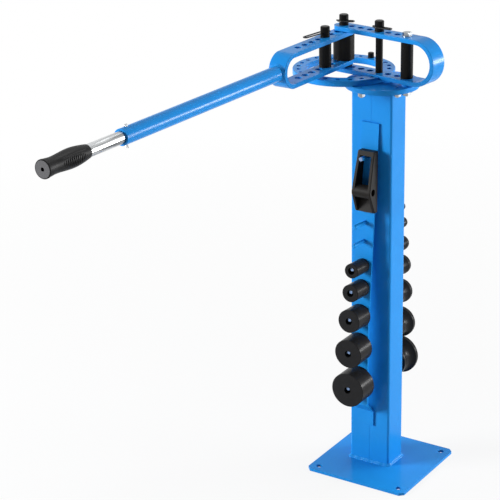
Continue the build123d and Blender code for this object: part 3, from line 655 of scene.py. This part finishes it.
def bead(name, spine, wall, floor, leg):
    """Rippled weld bead round a closed spine; wall and floor are the two ways that it leans at each point."""
    welds = bpy.context.scene.bender_welds
    rings = []
    run = 0.0
    for i, point in enumerate(spine):
        run += (point - spine[i - 1]).length if i else 0.0
        swell = noise.noise(point * per(BEAD_SWELL_MM)) * welds.lump
        ripple = math.sin(2 * math.pi * run / welds.ripple + BEAD_DRIFT * swell) * BEAD_RIPPLE
        size = leg * (1 + swell + ripple)
        ring = [point - (wall[i] + floor[i]) * BEAD_ROOT * leg]
        for k in range(BEAD_POINTS):
            turn = math.pi / 2 * k / (BEAD_POINTS - 1)
            crown = 1 - BEAD_HOLLOW + BEAD_HOLLOW * abs(math.cos(2 * turn))
            ring.append(point + (wall[i] * math.cos(turn) + floor[i] * math.sin(turn)) * size * crown)
        rings.append(ring)
    return skin(name, rings, loop=True)


def rounded_box_path(low, high, corner, step):
    """Points round a rounded rectangle and the outward direction at each, evenly spaced."""
    points, outward = [], []
    corners = (
        (Vector((high.x - corner, low.y + corner, 0)), -90),
        (Vector((high.x - corner, high.y - corner, 0)), 0),
        (Vector((low.x + corner, high.y - corner, 0)), 90),
        (Vector((low.x + corner, low.y + corner, 0)), 180),
    )
    for k, (centre, start) in enumerate(corners):
        for turn in range(0, 90 + CORNER_STEP, CORNER_STEP):
            points.append(centre + heading(start + turn) * corner)
            outward.append(heading(start + turn))
        next_centre, next_start = corners[(k + 1) % 4]
        first = points[-1]
        last = next_centre + heading(next_start) * corner
        count = int((last - first).length / step)
        for i in range(1, count):
            points.append(first.lerp(last, i / count))
            outward.append(outward[-1])
    return points, outward


def hexagon(base, height, flats, bore, axis, chamfered):
    """Hexagon head or nut with turned corners on the ends named in chamfered, round a bore."""
    side = axis.orthogonal().normalized()
    across = axis.cross(side)
    apothem = flats / 2
    turned = apothem * TURNED_FACE
    rings = [[], [], [], [], [], []]
    for i in range(HEXAGON_POINTS):
        turn = 2 * math.pi * i / HEXAGON_POINTS
        out = side * math.cos(turn) + across * math.sin(turn)
        reach = apothem / math.cos((turn + math.pi / 6) % (math.pi / 3) - math.pi / 6)
        cut = max(0.0, reach - turned) * math.tan(CORNER_SLOPE)
        low_cut = cut if "low" in chamfered else 0.0
        high_cut = cut if "high" in chamfered else 0.0
        low_face = turned if "low" in chamfered else reach * PLAIN_FACE
        high_face = turned if "high" in chamfered else reach * PLAIN_FACE
        rings[0].append(base + out * bore)
        rings[1].append(base + out * low_face)
        rings[2].append(base + out * reach + axis * low_cut)
        rings[3].append(base + out * reach + axis * (height - high_cut))
        rings[4].append(base + out * high_face + axis * height)
        rings[5].append(base + out * bore + axis * height)
    return rings


def threaded_rod(start, axis, plain, length, hardware):
    """Rings of a bolt's shank: plain, then a cut thread with a chamfered tip."""
    side = axis.orthogonal().normalized()
    across = axis.cross(side)
    radius = hardware.thread / 2
    depth = hardware.pitch * THREAD_DEPTH
    steps = max(2, int((length - plain) / hardware.pitch * STEPS_PER_THREAD))
    levels = [0.0, plain] + [plain + (length - plain) * k / steps for k in range(1, steps + 1)]
    rings = []
    for level in levels:
        ring = []
        for i in range(ROD_POINTS):
            turn = i / ROD_POINTS
            cut = 0.0
            if level > plain:
                phase = (level / hardware.pitch - turn) % 1.0
                cut = depth * max(0.0, 1 - abs(phase - 0.5) * THREAD_FLANK)
            tip = max(0.0, level - (length - hardware.pitch))
            out = side * math.cos(2 * math.pi * turn) + across * math.sin(2 * math.pi * turn)
            ring.append(start + axis * level + out * (radius - max(cut, tip)))
        rings.append(ring)
    return rings


class BENDER_OT_finishes(bpy.types.Operator):
    """Give every solid its finish"""

    bl_idname = "bender.finishes"
    bl_label = "Finishes"

    def execute(self, context):
        colours = context.scene.bender_colours
        by_slot = {
            "blue_enamel": enamel(),
            "zinc_plate": zinc(),
            "black_wire": spring_wire(),
            "grip_rubber": rubber(),
        }
        upright_oxide = turned_oxide("black_oxide_turned_upright", "Z", colours.oxide, colours.oxide_worn)
        level_oxide = turned_oxide("black_oxide_turned_level", "Y", colours.die, colours.die_worn)
        cast = cast_block()
        drawn = drawn_tube()
        for part in frame["record"]["subparts"]:
            node = frame["nodes"][part["node"]]
            if part["node"] == "bending_block":
                finish = cast
            elif part["node"] == "extension_tube":
                finish = drawn
            elif part["material_slot"] == "black_oxide":
                is_die = part["node"].startswith(("plain_die", "grooved_die"))
                finish = level_oxide if is_die else upright_oxide
            else:
                finish = by_slot[part["material_slot"]]
            node.data.materials.clear()
            node.data.materials.append(finish)
        # The outward ends of the pegs inside the dies and the block are painted paler, a painted highlight
        highlight_end = peg_end_highlight()
        front = ("plain_die", "bending_block")
        for node, outward, hung in (("front_pegs", -1, front), ("rear_pegs", 1, "grooved_die")):
            spans = [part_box(name) for name in frame["nodes"] if name.startswith(hung)]
            mesh = frame["nodes"][node].data
            mesh.materials.append(highlight_end)
            for polygon in mesh.polygons:
                # End faces within a die's or the block's height take the paler colour, the painted highlight
                end = polygon.normal.y * outward > END_FACING
                rubbed = any(low.z < polygon.center.z < high.z for low, high in spans)
                polygon.material_index = int(end and rubbed)
        return {"FINISHED"}


class BENDER_OT_welds(bpy.types.Operator):
    """Lay the weld beads at the column's foot and head"""

    bl_idname = "bender.welds"
    bl_label = "Welds"

    def execute(self, context):
        welds = context.scene.bender_welds
        step = welds.ripple / BEAD_STEPS_PER_RIPPLE
        path, out = rounded_box_path(COLUMN_LOW, COLUMN_HIGH, welds.column_corner, step)
        foot = [Vector((p.x, p.y, COLUMN_LOW.z)) for p in path]
        rise = [UP] * len(path)
        foot_bead = bead("foot_bead", foot, rise, out, welds.foot_leg)
        add_piece(foot_bead, [enamel()], "stand", "blue_enamel", "foot_weld", sharp=60)
        rim = [Vector((p.x, p.y, COLUMN_HIGH.z)) for p in path]
        fall = [-UP] * len(path)
        flange_bead = bead("flange_bead", rim, fall, out, welds.rim_leg)
        add_piece(flange_bead, [enamel()], "stand", "blue_enamel", sharp=60)
        return {"FINISHED"}


class BENDER_OT_handle_weld(bpy.types.Operator):
    """Lay the saddle bead where the handle tube meets the arm's bend"""

    bl_idname = "bender.handle_weld"
    bl_label = "Handle weld"

    def execute(self, context):
        welds = context.scene.bender_welds
        low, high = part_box("arm_frame")
        bend = (high.z - low.z) / 2
        middle = (high.z + low.z) / 2
        tube_low, tube_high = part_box("handle_tube")
        tube = (tube_high.z - tube_low.z) / 2
        along = ARM
        side = UP.cross(along)
        reach = max((v.co - PIVOT).dot(along) for v in frame["nodes"]["arm_frame"].data.vertices)
        centre = PIVOT + along * (reach - bend)
        centre.z = middle
        spine, wall, floor = [], [], []
        for i in range(SADDLE_POINTS):
            turn = 2 * math.pi * i / SADDLE_POINTS
            out = side * math.cos(turn) + UP * math.sin(turn)
            height = tube * math.sin(turn)
            depth = math.sqrt(bend ** 2 - height ** 2)
            spine.append(centre + along * depth + out * tube)
            normal = (along * depth + UP * height).normalized()
            tangent = out - normal * out.dot(normal)
            wall.append(along)
            floor.append(tangent.normalized())
        handle_bead = bead("handle_bead", spine, wall, floor, welds.handle_leg)
        add_piece(handle_bead, [enamel()], "arm", "blue_enamel", sharp=60)
        return {"FINISHED"}


class BENDER_OT_plate_hardware(bpy.types.Operator):
    """Turn the nuts of the round plates and paint the screws' flush heads with the deck"""

    bl_idname = "bender.plate_hardware"
    bl_label = "Plate screws and nuts"

    def execute(self, context):
        hardware = context.scene.bender_hardware
        low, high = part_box("plate_nuts")
        turn = math.degrees(math.atan2(HEAD.y, HEAD.x))
        nuts = []
        for angle in hardware.angles:
            spot = COLUMN_MIDDLE + heading(turn + angle) * hardware.circle
            spot.z = low.z
            rings = hexagon(
                spot, high.z - low.z, hardware.screw_flats, hardware.screw / 2, UP, ("low", "high")
            )
            nuts.append(skin("nut", rings, loop=True))
        add_piece(merge("plate_nut_set", nuts), [zinc()], "stand", "zinc_plate", "plate_nuts")
        screws = frame["nodes"]["plate_bolts"].data
        screws.materials.append(enamel())
        for polygon in screws.polygons:
            if polygon.center.z > COLUMN_HIGH.z:
                polygon.material_index = 1
        return {"FINISHED"}


class BENDER_OT_sleeve_hardware(bpy.types.Operator):
    """Turn the long bolt and its nut"""

    bl_idname = "bender.sleeve_hardware"
    bl_label = "Long bolt and nut"

    def execute(self, context):
        hardware = context.scene.bender_hardware
        low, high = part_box("sleeve_bolt")
        nut_low, nut_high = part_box("sleeve_nut")
        seat = Vector((SLEEVE.x, SLEEVE.y, high.z - hardware.head))
        length = seat.z - low.z
        head = skin("head", hexagon(seat, hardware.head, hardware.flats, HEAD_MIDDLE, UP, ("high",)))
        rod = skin("rod", threaded_rod(seat, -UP, length - hardware.thread_length, length, hardware))
        add_piece(merge("long_bolt", [head, rod]), [zinc()], "stand", "zinc_plate", "sleeve_bolt")
        foot = Vector((SLEEVE.x, SLEEVE.y, nut_low.z))
        height = nut_high.z - nut_low.z
        rings = hexagon(foot, height, hardware.flats, hardware.thread / 2, UP, ("low", "high"))
        add_piece(skin("long_bolt_nut", rings, loop=True), [zinc()], "stand", "zinc_plate", "sleeve_nut")
        return {"FINISHED"}


class BENDER_OT_grip(bpy.types.Operator):
    """Mould the rubber grip"""

    bl_idname = "bender.grip"
    bl_label = "Grip"

    def execute(self, context):
        grip = context.scene.bender_grip
        colours = context.scene.bender_colours
        along = ARM
        side = UP.cross(along)
        reaches = [(v.co - PIVOT).dot(along) for v in frame["nodes"]["grip"].data.vertices]
        start, end = min(reaches), max(reaches)
        length = end - start
        axis = PIVOT.copy()
        axis.z = middle_of("grip").z
        lip = grip.flange_width / 4
        keys = (
            (grip.bulge_at, grip.bulge), (grip.waist_at, grip.waist),
            (length - grip.flange_width, grip.flange * FLANGE_ROUND),
            (length - grip.flange_width + lip, grip.flange),
            (length - lip, grip.flange), (length, grip.flange * FLANGE_ROUND),
        )

        def outline(run):
            """Radius at a distance from the inner end: a quarter sine to the bulge, then smooth steps."""
            if run < grip.bulge_at:
                return grip.neck + (grip.bulge - grip.neck) * math.sin(math.pi / 2 * run / grip.bulge_at)
            for (near, near_radius), (far, far_radius) in zip(keys, keys[1:]):
                if near <= run <= far:
                    share = (run - near) / (far - near)
                    return near_radius + (far_radius - near_radius) * share * share * (3 - 2 * share)
            return keys[-1][1]

        rib_half = grip.rib_pitch * grip.ribs / 2
        rings = []
        for k in range(GRIP_STEPS + 1):
            run = length * k / GRIP_STEPS
            base = outline(run)
            into = run - grip.bulge_at
            cut = 0.0
            if abs(into) < rib_half:
                wave = -math.cos(2 * math.pi * (into + rib_half) / grip.rib_pitch)
                cut = min(1.0, RIB_SHARPNESS * max(0.0, wave))
            fade = max(0.0, min(1.0, FLUTE_FADE - FLUTE_FADE * abs(into) / rib_half))
            ring = []
            for i in range(GRIP_POINTS):
                turn = 2 * math.pi * i / GRIP_POINTS
                out = side * math.cos(turn) + UP * math.sin(turn)
                flat = min(base, grip.rib_floor / max(RIB_COSINE, abs(math.cos(turn))))
                radius = base + (flat - base) * cut
                flute = abs(math.asin(math.sin(turn)) - grip.flute_rise) / FLUTE_HALF
                if flute < 1:
                    radius -= grip.flute_depth * (1 - flute * flute) * fade
                ring.append(axis + along * (start + run) + out * radius)
            rings.append(ring)
        mouth = axis + along * start
        face = axis + along * end
        floor = face - along * VENT_DEPTH
        last = rings[-1]
        rings.insert(0, [mouth + (p - mouth) * GRIP_MOUTH for p in rings[0]])
        rings.append([face + (p - face) * END_FACE for p in last])
        rings.append([face + (p - face).normalized() * grip.vent for p in last])
        rings.append([floor + (p - face).normalized() * grip.vent * VENT_TAPER for p in last])
        mesh = skin("grip_moulding", rings)
        cut_end = moulded_rubber("cut_rubber_grey", colours.rubber_end, CUT_ROUGHNESS)
        piece = add_piece(mesh, [rubber(), cut_end], "arm", "grip_rubber", "grip", sharp=50)
        for polygon in mesh.polygons:
            towards = (polygon.center - face).dot(along)
            inside = (polygon.center - face - along * towards).length
            if towards > -END_DEPTH and grip.vent < inside < grip.flange * END_GREY:
                polygon.material_index = 1
        piece.data.update()
        return {"FINISHED"}


class BENDER_OT_stage(bpy.types.Operator):
    """Set the floor, the lamps, the world and the camera"""

    bl_idname = "bender.stage"
    bl_label = "Stage"

    def execute(self, context):
        scene = context.scene
        stage = scene.bender_stage
        scene.view_settings.view_transform = "Standard"
        self.lay_floor(scene)
        self.light_world(scene, stage)
        self.hang_lamps(scene, stage)
        self.set_camera(scene, stage)
        return {"FINISHED"}

    def hang_lamps(self, scene, stage):
        """Square panels that face the middle of the object."""
        for name, place, size, power in LAMPS:
            lamp = bpy.data.lights.new(name, "AREA")
            lamp.size = size
            lamp.energy = getattr(stage, power)
            holder = bpy.data.objects.new(name, lamp)
            holder.location = place
            holder.rotation_euler = (LAMP_AIM - Vector(place)).to_track_quat("-Z", "Y").to_euler()
            scene.collection.objects.link(holder)

    def set_camera(self, scene, stage):
        """Camera at the photograph's angle."""
        camera = bpy.data.cameras.new("photo_camera")
        camera.lens = stage.lens
        camera.sensor_width = SENSOR_WIDTH
        camera.clip_end = CAMERA_REACH
        holder = bpy.data.objects.new("photo_camera", camera)
        turn, pitch, roll = (math.radians(a) for a in (stage.azimuth, stage.pitch, stage.roll))
        forward = Vector((
            -math.sin(turn) * math.cos(pitch), math.cos(turn) * math.cos(pitch), -math.sin(pitch)
        ))
        right = Vector((math.cos(turn), math.sin(turn), 0))
        upward = right.cross(forward)
        level = right * math.cos(roll) + upward * math.sin(roll)
        plumb = upward * math.cos(roll) - right * math.sin(roll)
        eye = Vector(stage.target) - forward * stage.distance
        facing = Matrix((level, plumb, -forward)).transposed().to_4x4()
        holder.matrix_world = Matrix.Translation(eye) @ facing
        scene.collection.objects.link(holder)
        scene.camera = holder

    def lay_floor(self, scene):
        """Pale floor that is near white to the camera and in reflections, and keeps a soft shadow."""
        corners = [(x * FLOOR_HALF, y * FLOOR_HALF, 0) for x, y in ((-1, -1), (1, -1), (1, 1), (-1, 1))]
        mesh = bpy.data.meshes.new("studio_floor")
        mesh.from_pydata(corners, [], [(0, 1, 2, 3)])
        floor = bpy.data.objects.new("studio_floor", mesh)
        scene.collection.objects.link(floor)
        material, tree, place = new_material("studio_floor_pale")
        paint = add_node(
            tree, "ShaderNodeBsdfDiffuse", inputs={"Color": linear(scene.bender_colours.floor)}
        )
        glow = add_node(tree, "ShaderNodeEmission", inputs={"Color": (1, 1, 1, 1), "Strength": 1.0})
        # The floor runs into the white background away from the object
        away = add_node(tree, "ShaderNodeVectorMath", {"operation": "LENGTH"}, {0: place}).outputs["Value"]
        white = add_node(
            tree, "ShaderNodeMapRange",
            inputs={"Value": away, "From Min": FLOOR_NEAR, "From Max": FLOOR_FAR, "To Min": FLOOR_WHITE},
        )
        share = add_node(
            tree, "ShaderNodeMath", {"operation": "MULTIPLY"},
            {0: self.seen_directly(tree), 1: white.outputs["Result"]},
        )
        mixed = add_node(
            tree, "ShaderNodeMixShader",
            inputs={0: share.outputs["Value"], 1: paint.outputs["BSDF"], 2: glow.outputs["Emission"]},
        )
        add_node(tree, "ShaderNodeOutputMaterial", inputs={"Surface": mixed.outputs["Shader"]})
        mesh.materials.append(material)

    def light_world(self, scene, stage):
        """Soft light all round, white where it is seen."""
        world = bpy.data.worlds.new("studio_world")
        scene.world = world
        world.use_nodes = True
        tree = world.node_tree
        tree.nodes.clear()
        seen = self.seen_directly(tree)
        strength = add_node(
            tree, "ShaderNodeMapRange", inputs={"Value": seen, "To Min": stage.sky, "To Max": 1.0}
        )
        sky = add_node(
            tree, "ShaderNodeBackground",
            inputs={"Color": (1, 1, 1, 1), "Strength": strength.outputs["Result"]},
        )
        add_node(tree, "ShaderNodeOutputWorld", inputs={"Surface": sky.outputs["Background"]})

    def seen_directly(self, tree):
        """Socket that is 1 for camera, glossy and transmission rays."""
        path = add_node(tree, "ShaderNodeLightPath").outputs
        first = add_node(
            tree, "ShaderNodeMath", {"operation": "MAXIMUM"},
            {0: path["Is Camera Ray"], 1: path["Is Glossy Ray"]},
        )
        both = add_node(
            tree, "ShaderNodeMath", {"operation": "MAXIMUM"},
            {0: first.outputs["Value"], 1: path["Is Transmission Ray"]},
        )
        return both.outputs["Value"]


class BENDER_PT_dressing(bpy.types.Panel):
    """Lists the bender's pieces and sizes"""

    bl_label = "Pipe Bender"
    bl_idname = "BENDER_PT_dressing"
    bl_space_type = "VIEW_3D"
    bl_region_type = "UI"
    bl_category = "Bender"

    def draw(self, context):
        for operator in OPERATORS:
            self.layout.operator(operator.bl_idname)
        for name, group in GROUPS.items():
            box = self.layout.box()
            for prop in group.__annotations__:
                box.prop(getattr(context.scene, name), prop)


GROUPS = {
    "bender_colours": BenderColours,
    "bender_welds": BenderWelds,
    "bender_hardware": BenderHardware,
    "bender_grip": BenderGrip,
    "bender_stage": BenderStage,
}
OPERATORS = (
    BENDER_OT_finishes,
    BENDER_OT_welds,
    BENDER_OT_handle_weld,
    BENDER_OT_plate_hardware,
    BENDER_OT_sleeve_hardware,
    BENDER_OT_grip,
    BENDER_OT_stage,
)


def register():
    """Add the groups, operators and panel to Blender."""
    for name, group in GROUPS.items():
        bpy.utils.register_class(group)
        setattr(bpy.types.Scene, name, PointerProperty(type=group))
    for operator in OPERATORS:
        bpy.utils.register_class(operator)
    bpy.utils.register_class(BENDER_PT_dressing)


def unregister():
    """Take them out again."""
    bpy.utils.unregister_class(BENDER_PT_dressing)
    for operator in reversed(OPERATORS):
        bpy.utils.unregister_class(operator)
    for name, group in reversed(GROUPS.items()):
        delattr(bpy.types.Scene, name)
        bpy.utils.unregister_class(group)


def main():
    """Dress the bender."""
    register()
    bpy.ops.bender.finishes()
    bpy.ops.bender.welds()
    bpy.ops.bender.handle_weld()
    bpy.ops.bender.plate_hardware()
    bpy.ops.bender.sleeve_hardware()
    bpy.ops.bender.grip()
    bpy.ops.bender.stage()


if __name__ == "__main__":
    main()
